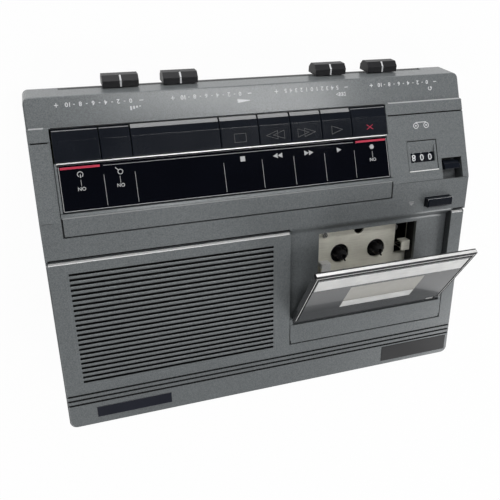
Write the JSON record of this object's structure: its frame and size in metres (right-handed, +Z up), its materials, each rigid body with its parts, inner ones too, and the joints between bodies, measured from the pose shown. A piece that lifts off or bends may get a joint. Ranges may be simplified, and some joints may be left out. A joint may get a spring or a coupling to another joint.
{
  "type": "desktop cassette player",
  "caption": "Desktop mini cassette player with a sloped control front, key row, slide controls, sprung cassette door, tape counter and a slotted speaker grille.",
  "frame": {"origin": "on the table, under the middle of the footprint with the slide knobs included", "axes": "+X to the user's right, +Y to the rear, +Z up"},
  "size_m": [0.238, 0.1764, 0.0845],
  "materials": {
    "charcoal_plastic": "fine metallic charcoal paint on moulded plastic",
    "black_plastic": "fine-grained black",
    "black_gloss": "polished black",
    "key_plastic": "satin dark charcoal",
    "bright_trim": "bright plated",
    "smoky_plastic": "dark smoky gloss",
    "clear_window": "clear moulded pane",
    "steel": "nickel-plated sheet",
    "head_metal": "polished head face",
    "brass": "turned",
    "circuit_board": "lacquered board",
    "rubber": "moulded",
    "counter_black": "black with white numbers",
    "counter_white": "black with white numbers",
    "speaker_cloth": "open black weave",
    "cone_paper": "pressed paper",
    "magnet": "ferrite"
  },
  "bodies": {
    "housing": {"bottom_case": "black_plastic", "front_cover": "charcoal_plastic", "rear_cover": "charcoal_plastic", "speaker_grille": "charcoal_plastic", "control_bezel": "charcoal_plastic", "label_panel": "black_gloss", "key_trim_strip": "bright_trim", "key_switch_board": "circuit_board", "slide_potentiometers": "steel", "cassette_well": "black_plastic", "deck_plate": "steel", "mechanism_chassis": "steel", "main_board": "circuit_board", "rubber_feet": "rubber", "case_screws": "steel", "blank_key": "key_plastic", "counter_frame": "charcoal_plastic", "counter_bracket": "steel", "socket_plate": "black_plastic", "hinge_panel": "charcoal_plastic", "door_hinge_pin": "steel", "door_spring": "steel", "motor": "steel", "drive_belt": "rubber", "speaker_cloth": "speaker_cloth", "speaker_frame": "steel", "speaker_cone": "cone_paper", "speaker_magnet": "magnet", "dc_jack": "black_plastic", "earphone_jack": "black_plastic", "foot_control_jack": "black_plastic"},
    "door": {"cassette_door": "smoky_plastic", "door_window": "clear_window", "door_trim": "bright_trim"},
    "erase_key": {"erase_key": "key_plastic"},
    "play_key": {"play_key": "key_plastic"},
    "fast_forward_key": {"fast_forward_key": "key_plastic"},
    "rewind_key": {"rewind_key": "key_plastic"},
    "stop_key": {"stop_key": "key_plastic"},
    "search_key": {"search_key": "key_plastic"},
    "power_key": {"power_key": "key_plastic"},
    "backspace_knob": {"backspace_knob": "black_plastic"},
    "speed_knob": {"speed_knob": "black_plastic"},
    "volume_knob": {"volume_knob": "black_plastic"},
    "tone_knob": {"tone_knob": "black_plastic"},
    "eject_button": {"eject_button": "black_plastic"},
    "reset_button": {"reset_button": "black_plastic"},
    "hundreds_wheel": {"hundreds_wheel": "counter_black"},
    "tens_wheel": {"tens_wheel": "counter_black"},
    "units_wheel": {"units_wheel": "counter_white"},
    "supply_spindle": {"supply_spindle": "black_plastic"},
    "take_up_spindle": {"take_up_spindle": "black_plastic"},
    "motor_pulley": {"motor_pulley": "brass"},
    "drive_wheel": {"drive_wheel": "black_plastic"},
    "idler_arm": {"idler_arm": "steel"},
    "idler_wheel": {"idler_wheel": "rubber"},
    "head_carriage": {"head_carriage": "steel", "playback_head": "head_metal", "erase_head": "black_plastic"},
    "cassette_lever": {"cassette_lever": "steel"}
  },
  "joints": [
    {"name": "door_hinge", "type": "hinge", "parent": "housing", "child": "door", "pos_m": [-0.05935, 0.0464, 0.05828], "axis": [-1, 0, 0], "range_deg": [-35.5, 0], "stiffness_Nm_per_rad": 0.01, "springref_deg": 34.38},
    {"name": "erase_key_press", "type": "slide", "parent": "housing", "child": "erase_key", "axis": [0, -0.4617, 0.887], "range_m": [-0.0018, 0], "stiffness_N_per_m": 350, "springref_m": 0.002},
    {"name": "play_key_press", "type": "slide", "parent": "housing", "child": "play_key", "axis": [0, -0.4617, 0.887], "range_m": [-0.0018, 0], "stiffness_N_per_m": 350, "springref_m": 0.002},
    {"name": "fast_forward_key_press", "type": "slide", "parent": "housing", "child": "fast_forward_key", "axis": [0, -0.4617, 0.887], "range_m": [-0.0018, 0], "stiffness_N_per_m": 350, "springref_m": 0.002},
    {"name": "rewind_key_press", "type": "slide", "parent": "housing", "child": "rewind_key", "axis": [0, -0.4617, 0.887], "range_m": [-0.0018, 0], "stiffness_N_per_m": 350, "springref_m": 0.002},
    {"name": "stop_key_press", "type": "slide", "parent": "housing", "child": "stop_key", "axis": [0, -0.4617, 0.887], "range_m": [-0.0018, 0], "stiffness_N_per_m": 350, "springref_m": 0.002},
    {"name": "search_key_press", "type": "slide", "parent": "housing", "child": "search_key", "axis": [0, -0.4617, 0.887], "range_m": [-0.0018, 0], "stiffness_N_per_m": 350, "springref_m": 0.002},
    {"name": "power_key_press", "type": "slide", "parent": "housing", "child": "power_key", "axis": [0, -0.4617, 0.887], "range_m": [-0.0018, 0], "stiffness_N_per_m": 350, "springref_m": 0.002},
    {"name": "eject_press", "type": "slide", "parent": "housing", "child": "eject_button", "axis": [0, -0.1219, 0.9925], "range_m": [-0.002, 0], "stiffness_N_per_m": 400, "springref_m": 0.002},
    {"name": "reset_press", "type": "slide", "parent": "housing", "child": "reset_button", "axis": [0, -0.4617, 0.887], "range_m": [-0.0018, 0], "stiffness_N_per_m": 300, "springref_m": 0.002},
    {"name": "backspace_slide", "type": "slide", "parent": "housing", "child": "backspace_knob", "axis": [1, 0, 0], "range_m": [-0.0238, 0.0062]},
    {"name": "speed_slide", "type": "slide", "parent": "housing", "child": "speed_knob", "axis": [1, 0, 0], "range_m": [0, 0.03]},
    {"name": "volume_slide", "type": "slide", "parent": "housing", "child": "volume_knob", "axis": [1, 0, 0], "range_m": [-0.0284, 0.0016]},
    {"name": "tone_slide", "type": "slide", "parent": "housing", "child": "tone_knob", "axis": [1, 0, 0], "range_m": [-0.0031, 0.0269]},
    {"name": "units_wheel_turn", "type": "hinge", "parent": "housing", "child": "units_wheel", "pos_m": [-0.0899, -0.03816, 0.03735], "axis": [1, 0, 0], "continuous": true},
    {"name": "tens_wheel_turn", "type": "hinge", "parent": "housing", "child": "tens_wheel", "pos_m": [-0.0899, -0.03816, 0.03735], "axis": [1, 0, 0], "continuous": true},
    {"name": "hundreds_wheel_turn", "type": "hinge", "parent": "housing", "child": "hundreds_wheel", "pos_m": [-0.0899, -0.03816, 0.03735], "axis": [1, 0, 0], "continuous": true},
    {"name": "supply_spindle_turn", "type": "hinge", "parent": "housing", "child": "supply_spindle", "pos_m": [-0.0694, 0.01522, 0.04186], "axis": [0, -0.1219, 0.9925], "continuous": true},
    {"name": "take_up_spindle_turn", "type": "hinge", "parent": "housing", "child": "take_up_spindle", "pos_m": [-0.0454, 0.01522, 0.04186], "axis": [0, -0.1219, 0.9925], "continuous": true},
    {"name": "drive_wheel_turn", "type": "hinge", "parent": "housing", "child": "drive_wheel", "pos_m": [-0.0574, 0.03725, 0.04456], "axis": [0, -0.1219, 0.9925], "continuous": true},
    {"name": "motor_pulley_turn", "type": "hinge", "parent": "housing", "child": "motor_pulley", "pos_m": [-0.0194, 0.03328, 0.04408], "axis": [0, -0.1219, 0.9925], "continuous": true},
    {"name": "idler_arm_swing", "type": "hinge", "parent": "housing", "child": "idler_arm", "pos_m": [-0.0574, 0.03725, 0.04456], "axis": [0, -0.1219, 0.9925], "range_deg": [-14.3, 14.3]},
    {"name": "idler_wheel_turn", "type": "hinge", "parent": "idler_arm", "child": "idler_wheel", "pos_m": [-0.0574, 0.02698, 0.0433], "axis": [0, -0.1219, 0.9925], "continuous": true},
    {"name": "head_carriage_slide", "type": "slide", "parent": "housing", "child": "head_carriage", "axis": [0, -0.9925, -0.1219], "range_m": [0, 0.0025], "stiffness_N_per_m": 150, "springref_m": -0.002},
    {"name": "cassette_lever_swing", "type": "hinge", "parent": "housing", "child": "cassette_lever", "pos_m": [-0.086, 0.0164, 0.03797], "axis": [-1, 0, 0], "range_deg": [-8, 0], "stiffness_Nm_per_rad": 0.004, "springref_deg": 17.19}
  ],
  "couplings": [
    {"joint": "motor_pulley_turn", "follows": "drive_wheel_turn", "ratio": 4.3333},
    {"joint": "idler_wheel_turn", "follows": "drive_wheel_turn", "ratio": -0.6452},
    {"joint": "tens_wheel_turn", "follows": "units_wheel_turn", "ratio": 0.1},
    {"joint": "hundreds_wheel_turn", "follows": "units_wheel_turn", "ratio": 0.01}
  ]
}
